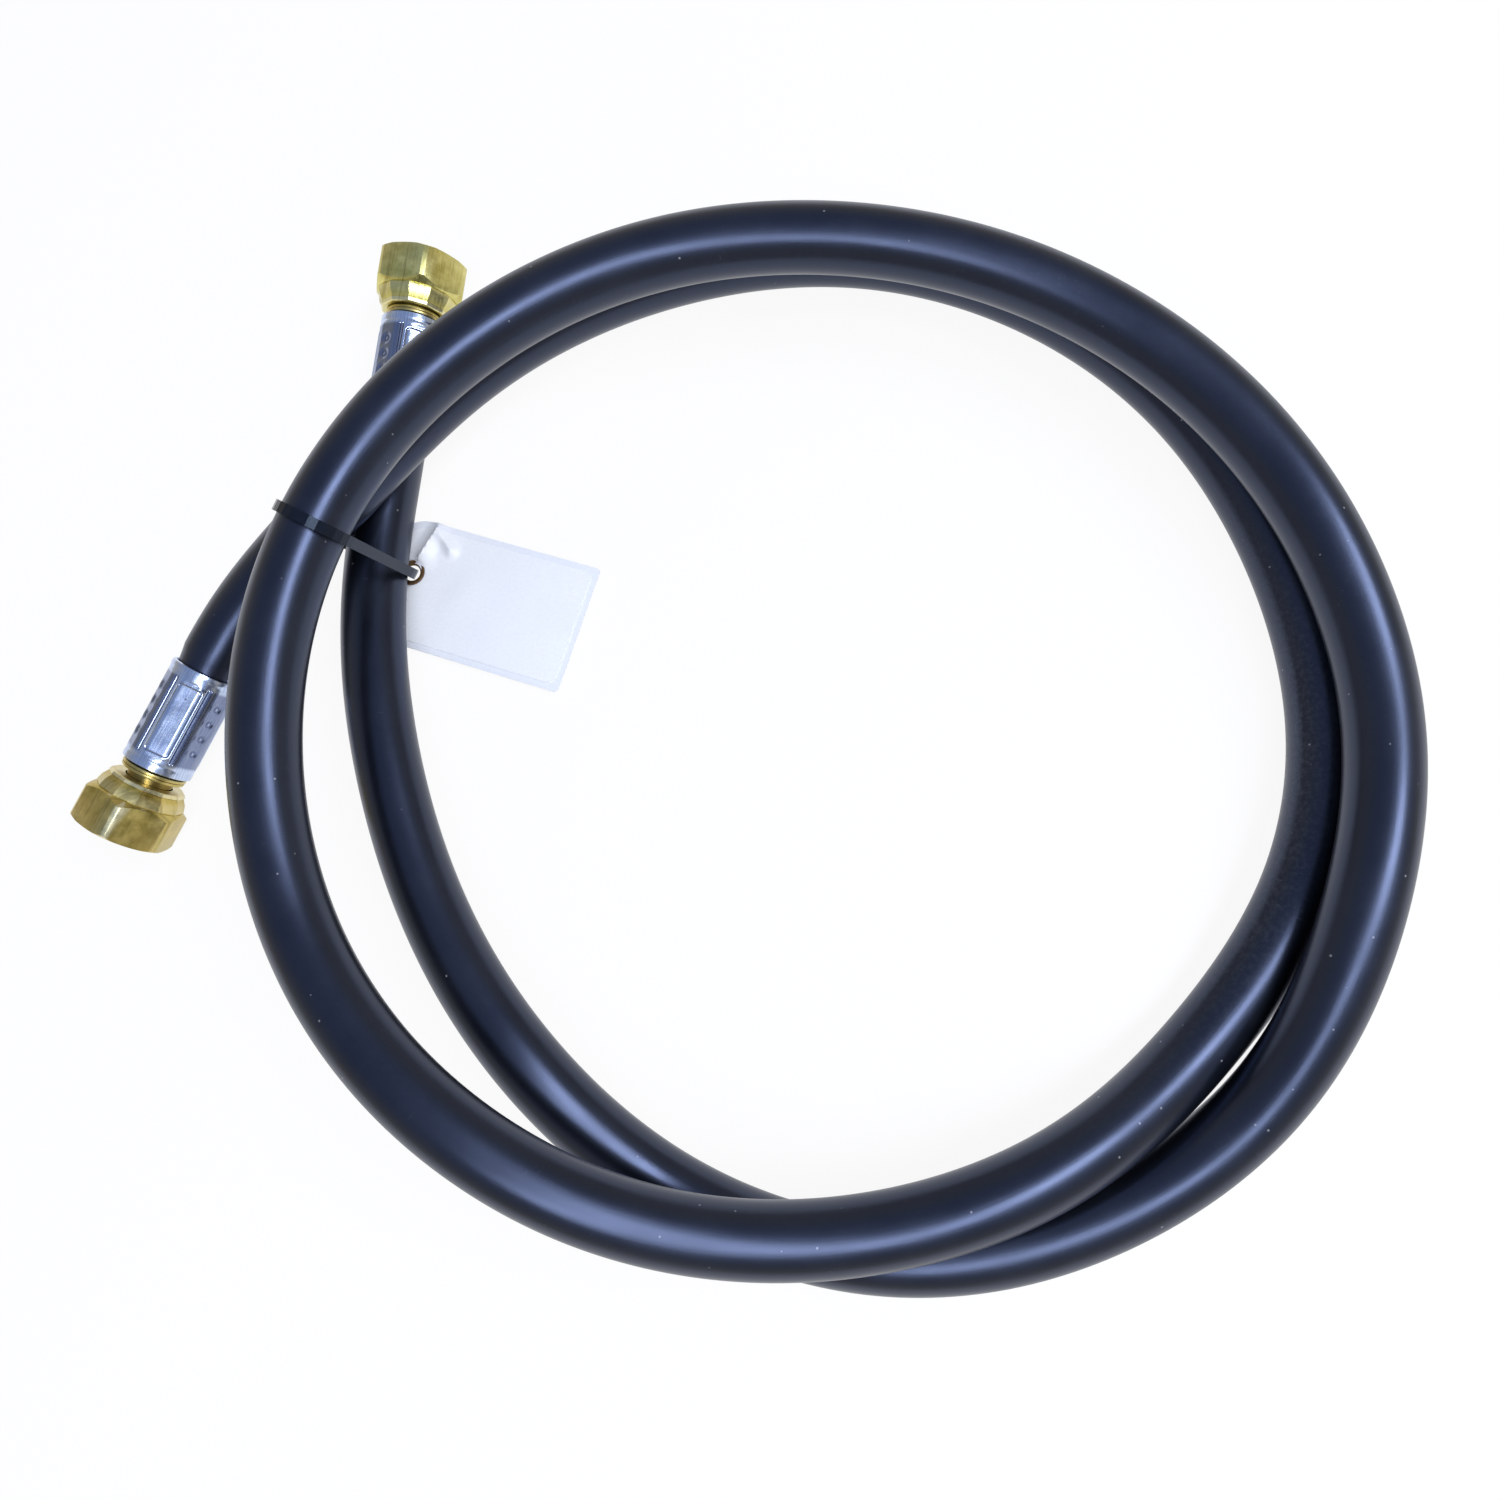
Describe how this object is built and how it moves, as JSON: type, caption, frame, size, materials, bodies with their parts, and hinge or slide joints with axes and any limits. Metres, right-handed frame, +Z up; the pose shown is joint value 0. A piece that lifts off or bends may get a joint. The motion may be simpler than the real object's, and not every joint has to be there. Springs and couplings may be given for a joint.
{
  "type": "rubber hose assembly",
  "caption": "Coiled rubber hose with a crimped ferrule and a free-turning brass swivel nut on each end, bundled by a cable tie that carries a blank card tag.",
  "frame": {"origin": "on the floor, below the middle of the part's bounding box", "axes": "+Z up, out of the flat coil; +X along the longest extent, from end B's nut to the far side of the coil; +Y towards end A's nut"},
  "size_m": [0.3144, 0.2598, 0.0555],
  "materials": {
    "rubber": "smooth satin black rubber",
    "textile": "braided textile, hidden in the wall",
    "liner": "smooth black rubber, hidden in the wall",
    "zinc": "bright zinc plating on a crimped steel sleeve",
    "brass": "machined yellow brass",
    "nylon": "semi-gloss black nylon",
    "paper": "thin white card",
    "label": "smooth white label, blank"
  },
  "bodies": {
    "hose": {"hose_cover": "rubber", "hose_braid": "textile", "hose_liner": "liner", "ferrule_a": "zinc", "ferrule_b": "zinc", "stem_a": "brass", "stem_b": "brass", "cable_tie": "nylon"},
    "nut_a": {"swivel_nut_a": "brass"},
    "nut_b": {"swivel_nut_b": "brass"},
    "tag": {"tag_card": "paper", "tag_label": "label"}
  },
  "joints": [
    {"name": "nut_a_spin", "type": "hinge", "parent": "hose", "child": "nut_a", "pos_m": [-0.07772, 0.11098, 0.01351], "axis": [0.1348, 0.9886, 0.0671], "continuous": true},
    {"name": "nut_b_spin", "type": "hinge", "parent": "hose", "child": "nut_b", "pos_m": [-0.14027, -0.01398, 0.01495], "axis": [-0.4783, -0.875, -0.0748], "continuous": true},
    {"name": "tag_swivel", "type": "hinge", "parent": "hose", "child": "tag", "pos_m": [-0.07975, 0.04312, 0.0016], "axis": [0, 0, 1], "range_deg": [-30, 30]}
  ]
}
